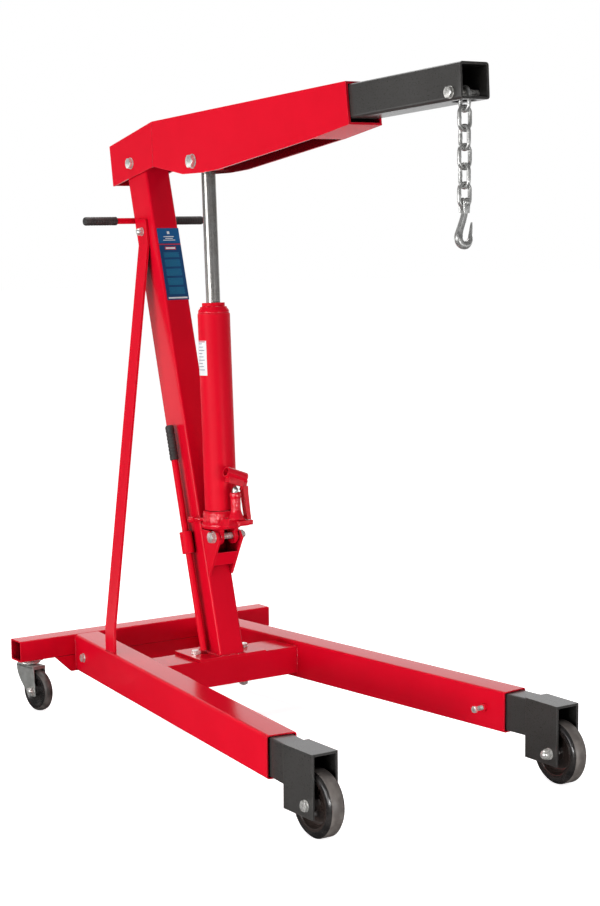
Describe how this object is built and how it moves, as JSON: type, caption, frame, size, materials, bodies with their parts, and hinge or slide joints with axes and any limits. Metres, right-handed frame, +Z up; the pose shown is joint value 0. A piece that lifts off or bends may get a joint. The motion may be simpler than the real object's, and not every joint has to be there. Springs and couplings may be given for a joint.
{
  "type": "engine hoist crane",
  "caption": "Red workshop engine hoist: splayed wheeled legs, leaning braced mast, hydraulic jack under a pivoting boom with sliding extension, chain and hook.",
  "frame": {"origin": "on the floor, under the middle of the machine's bounding box at rest", "axes": "+X forward, the way the boom and the legs point; +Y to the machine's left; +Z up"},
  "size_m": [1.634, 0.854, 1.7601],
  "materials": {
    "red_paint": "glossy red powder coat",
    "black_paint": "satin black powder coat",
    "zinc": "bright zinc plate",
    "chrome": "hard chrome, polished",
    "rubber": "matte dark rubber",
    "black_rim": "satin black",
    "grip_rubber": "soft black grip"
  },
  "bodies": {
    "chassis": {"rear_beam": "red_paint", "leg_right": "red_paint", "leg_left": "red_paint", "cross_beam": "red_paint", "caster_plate_right": "zinc", "caster_plate_left": "zinc", "mast": "red_paint", "foot_bolt_right": "zinc", "foot_bolt_left": "zinc", "brace": "red_paint", "brace_bolt": "zinc", "push_handle": "red_paint", "push_grip_right": "grip_rubber", "push_grip_left": "grip_rubber", "handle_sleeve": "red_paint", "ram_bracket_right": "red_paint", "ram_bracket_left": "red_paint", "bracket_cross_plate": "red_paint", "ram_lower_bolt": "zinc"},
    "extension_right": {"leg_extension_right": "black_paint", "front_axle_right": "zinc"},
    "wheel_right": {"front_wheel_right": "black_rim", "front_tyre_right": "rubber"},
    "lock_right": {"leg_lock_screw_right": "zinc"},
    "caster_right": {"caster_fork_right": "zinc", "caster_axle_right": "zinc"},
    "caster_roll_right": {"caster_wheel_right": "rubber"},
    "extension_left": {"leg_extension_left": "black_paint", "front_axle_left": "zinc"},
    "wheel_left": {"front_wheel_left": "black_rim", "front_tyre_left": "rubber"},
    "lock_left": {"leg_lock_screw_left": "zinc"},
    "caster_left": {"caster_fork_left": "zinc", "caster_axle_left": "zinc"},
    "caster_roll_left": {"caster_wheel_left": "rubber"},
    "boom": {"boom": "red_paint", "boom_pivot_bolt": "zinc", "ram_top_bolt": "zinc"},
    "boom_slide": {"boom_extension": "black_paint", "tip_bolt": "zinc"},
    "link_1": {"chain_link_1": "zinc"},
    "link_2": {"chain_link_2": "zinc"},
    "link_3": {"chain_link_3": "zinc"},
    "link_4": {"chain_link_4": "zinc"},
    "link_5": {"chain_link_5": "zinc"},
    "link_6": {"chain_link_6": "zinc"},
    "hook": {"hook": "zinc", "hook_pin": "zinc"},
    "ram": {"ram_base": "red_paint", "ram_cylinder": "red_paint", "pump_link": "red_paint"},
    "rod": {"ram_rod": "chrome"},
    "yoke": {"ram_yoke": "red_paint"},
    "valve": {"release_valve": "red_paint"},
    "socket": {"handle_socket": "red_paint"},
    "piston": {"pump_piston": "chrome"},
    "stored_handle": {"pump_handle": "red_paint", "pump_handle_grip": "grip_rubber"}
  },
  "joints": [
    {"name": "boom_pivot", "type": "hinge", "parent": "chassis", "child": "boom", "pos_m": [-0.69, 0, 1.571], "axis": [0, -1, 0], "range_deg": [-30, 18]},
    {"name": "boom_extension_slide", "type": "slide", "parent": "boom", "child": "boom_slide", "axis": [0.9983, 0, 0.059], "range_m": [-0.24, 0.12]},
    {"name": "link_1_swing", "type": "hinge", "parent": "boom_slide", "child": "link_1", "pos_m": [0.778, 0, 1.692], "axis": [0, -1, 0], "range_deg": [-20, 15]},
    {"name": "link_2_swing", "type": "hinge", "parent": "link_1", "child": "link_2", "pos_m": [0.778, 0, 1.65255], "axis": [1, 0, 0], "range_deg": [-25, 25]},
    {"name": "link_3_swing", "type": "hinge", "parent": "link_2", "child": "link_3", "pos_m": [0.778, 0, 1.60935], "axis": [0, 1, 0], "range_deg": [-25, 25]},
    {"name": "link_4_swing", "type": "hinge", "parent": "link_3", "child": "link_4", "pos_m": [0.778, 0, 1.56615], "axis": [1, 0, 0], "range_deg": [-25, 25]},
    {"name": "link_5_swing", "type": "hinge", "parent": "link_4", "child": "link_5", "pos_m": [0.778, 0, 1.52295], "axis": [0, 1, 0], "range_deg": [-25, 25]},
    {"name": "link_6_swing", "type": "hinge", "parent": "link_5", "child": "link_6", "pos_m": [0.778, 0, 1.47975], "axis": [1, 0, 0], "range_deg": [-25, 25]},
    {"name": "hook_swing", "type": "hinge", "parent": "link_6", "child": "hook", "pos_m": [0.778, 0, 1.4461], "axis": [1, 0, 0], "range_deg": [-25, 25]},
    {"name": "ram_swing", "type": "hinge", "parent": "chassis", "child": "ram", "pos_m": [-0.27602, 0, 0.5319], "axis": [0, -1, 0], "range_deg": [-1, 1.7]},
    {"name": "rod_slide", "type": "slide", "parent": "ram", "child": "rod", "axis": [-0.0472, 0, 0.9989], "range_m": [-0.171, 0.103]},
    {"name": "yoke_swing", "type": "hinge", "parent": "boom", "child": "yoke", "pos_m": [-0.344, 0, 1.568], "axis": [0, -1, 0], "range_deg": [-19.1, 31.8]},
    {"name": "release_valve_turn", "type": "hinge", "parent": "ram", "child": "valve", "pos_m": [-0.29717, 0, 0.57695], "axis": [-0.6812, -0.7314, -0.0322], "range_deg": [0, 180]},
    {"name": "pump_socket_swing", "type": "hinge", "parent": "ram", "child": "socket", "pos_m": [-0.2235, 0.029, 0.67053], "axis": [0.9989, 0, 0.0472], "range_deg": [-15, 15]},
    {"name": "pump_piston_slide", "type": "slide", "parent": "ram", "child": "piston", "axis": [-0.0472, 0, 0.9989], "range_m": [-0.0077, 0.0077]},
    {"name": "stored_handle_slide", "type": "slide", "parent": "chassis", "child": "stored_handle", "axis": [-0.2693, 0, 0.9631], "range_m": [0, 0.35]},
    {"name": "leg_extension_slide_right", "type": "slide", "parent": "chassis", "child": "extension_right", "axis": [0.993, -0.1179, 0], "range_m": [-0.06, 0.15]},
    {"name": "front_wheel_roll_right", "type": "hinge", "parent": "extension_right", "child": "wheel_right", "pos_m": [0.70841, -0.36765, 0.08], "axis": [0, 1, 0], "continuous": true},
    {"name": "lock_screw_turn_right", "type": "hinge", "parent": "chassis", "child": "lock_right", "pos_m": [0.48111, -0.31131, 0.155], "axis": [0.1179, 0.993, 0], "range_deg": [0, 360]},
    {"name": "caster_swivel_right", "type": "hinge", "parent": "chassis", "child": "caster_right", "pos_m": [-0.751, -0.383, 0.13], "axis": [0, 0, 1], "continuous": true},
    {"name": "caster_wheel_roll_right", "type": "hinge", "parent": "caster_right", "child": "caster_roll_right", "pos_m": [-0.70848, -0.37657, 0.06], "axis": [-0.1495, 0.9888, 0], "continuous": true},
    {"name": "leg_extension_slide_left", "type": "slide", "parent": "chassis", "child": "extension_left", "axis": [0.993, 0.1179, 0], "range_m": [-0.06, 0.15]},
    {"name": "front_wheel_roll_left", "type": "hinge", "parent": "extension_left", "child": "wheel_left", "pos_m": [0.70841, 0.36765, 0.08], "axis": [0, 1, 0], "continuous": true},
    {"name": "lock_screw_turn_left", "type": "hinge", "parent": "chassis", "child": "lock_left", "pos_m": [0.48111, 0.31131, 0.155], "axis": [0.1179, -0.993, 0], "range_deg": [0, 360]},
    {"name": "caster_swivel_left", "type": "hinge", "parent": "chassis", "child": "caster_left", "pos_m": [-0.751, 0.383, 0.13], "axis": [0, 0, 1], "continuous": true},
    {"name": "caster_wheel_roll_left", "type": "hinge", "parent": "caster_left", "child": "caster_roll_left", "pos_m": [-0.70848, 0.37657, 0.06], "axis": [0.1495, 0.9888, 0], "continuous": true}
  ],
  "couplings": [
    {"joint": "ram_swing", "follows": "boom_pivot", "ratio": -0.055},
    {"joint": "rod_slide", "follows": "boom_pivot", "m_per_rad": 0.326},
    {"joint": "yoke_swing", "follows": "boom_pivot", "ratio": -1.055},
    {"joint": "pump_piston_slide", "follows": "pump_socket_swing", "m_per_rad": -0.029}
  ]
}
